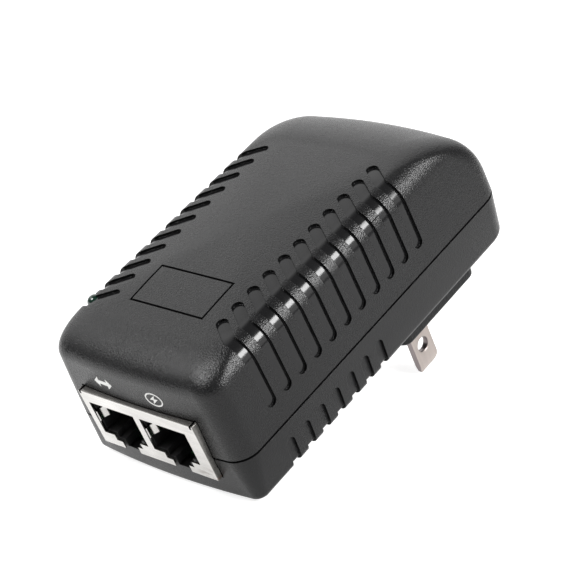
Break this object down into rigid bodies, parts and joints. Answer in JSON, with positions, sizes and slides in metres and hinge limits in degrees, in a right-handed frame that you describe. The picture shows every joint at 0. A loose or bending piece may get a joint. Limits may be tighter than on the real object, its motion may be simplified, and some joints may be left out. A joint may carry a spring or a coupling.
{
  "type": "poe injector",
  "caption": "Wall-plug power-over-Ethernet injector: ribbed black case, two side-by-side shielded modular sockets, status light and flat mains blades.",
  "frame": {"origin": "centre of the plug block's flat outer face, midway between the two blades", "axes": "+Z from the blades up through the case, +Y along the case away from the sockets, +X to the right when the sockets face the viewer"},
  "size_m": [0.0464, 0.0857, 0.0554],
  "materials": {
    "case": "fine spark-eroded texture, satin",
    "plug_block": "satin",
    "blade": "satin nickel plate, faintly warm",
    "shield": "bright nickel plate",
    "jack_plastic": "semi-gloss",
    "board": "solder mask",
    "led": "clear tinted, glossy",
    "tinned_wire": "tinned",
    "ferrite": "matt sintered",
    "bobbin": "satin",
    "winding_tape": "polyester tape",
    "can_sleeve_blue": "shrink sleeve",
    "can_sleeve_green": "shrink sleeve",
    "epoxy": "moulded epoxy",
    "fuse_cap": "satin",
    "copper_wire": "enamelled",
    "film_box": "satin",
    "ceramic_disc": "dipped epoxy",
    "heatsink_metal": "as rolled",
    "screw_steel": "zinc plated",
    "contact_gold": "gold flash"
  },
  "bodies": {
    "root": {"blade_left": "blade", "blade_right": "blade", "bottom_housing": "case", "bridge_rectifier": "epoxy", "choke_core": "ferrite", "choke_winding_1": "copper_wire", "choke_winding_2": "copper_wire", "fuse": "fuse_cap", "heatsink": "heatsink_metal", "input_capacitor_1": "can_sleeve_blue", "input_capacitor_2": "can_sleeve_blue", "jack_housing": "jack_plastic", "jack_shield": "shield", "led_lead_1": "tinned_wire", "led_lead_2": "tinned_wire", "optocoupler": "epoxy", "output_capacitor_1": "can_sleeve_green", "output_capacitor_2": "can_sleeve_green", "output_diode": "epoxy", "pcb": "board", "pcb_screw_1": "screw_steel", "pcb_screw_2": "screw_steel", "pcb_screw_3": "screw_steel", "pcb_screw_4": "screw_steel", "plug_block": "plug_block", "pwm_controller": "epoxy", "sense_resistor": "epoxy", "status_led": "led", "switching_transistor": "epoxy", "top_cover": "case", "transformer_bobbin": "bobbin", "transformer_core_back": "ferrite", "transformer_core_front": "ferrite", "transformer_winding": "winding_tape", "x_capacitor": "film_box", "y_capacitor": "ceramic_disc"},
    "lan_contacts": {"lan_contact_1": "contact_gold", "lan_contact_2": "contact_gold", "lan_contact_3": "contact_gold", "lan_contact_4": "contact_gold", "lan_contact_5": "contact_gold", "lan_contact_6": "contact_gold", "lan_contact_7": "contact_gold", "lan_contact_8": "contact_gold"},
    "poe_contacts": {"poe_contact_1": "contact_gold", "poe_contact_2": "contact_gold", "poe_contact_3": "contact_gold", "poe_contact_4": "contact_gold", "poe_contact_5": "contact_gold", "poe_contact_6": "contact_gold", "poe_contact_7": "contact_gold", "poe_contact_8": "contact_gold"}
  },
  "joints": [
    {"name": "lan_contact_flex", "type": "hinge", "parent": "root", "child": "lan_contacts", "pos_m": [-0.00785, -0.0602, 0.0224], "axis": [1, 0, 0], "range_deg": [0, 8], "stiffness_Nm_per_rad": 0.4},
    {"name": "poe_contact_flex", "type": "hinge", "parent": "root", "child": "poe_contacts", "pos_m": [0.00615, -0.0602, 0.0224], "axis": [1, 0, 0], "range_deg": [0, 8], "stiffness_Nm_per_rad": 0.4}
  ]
}
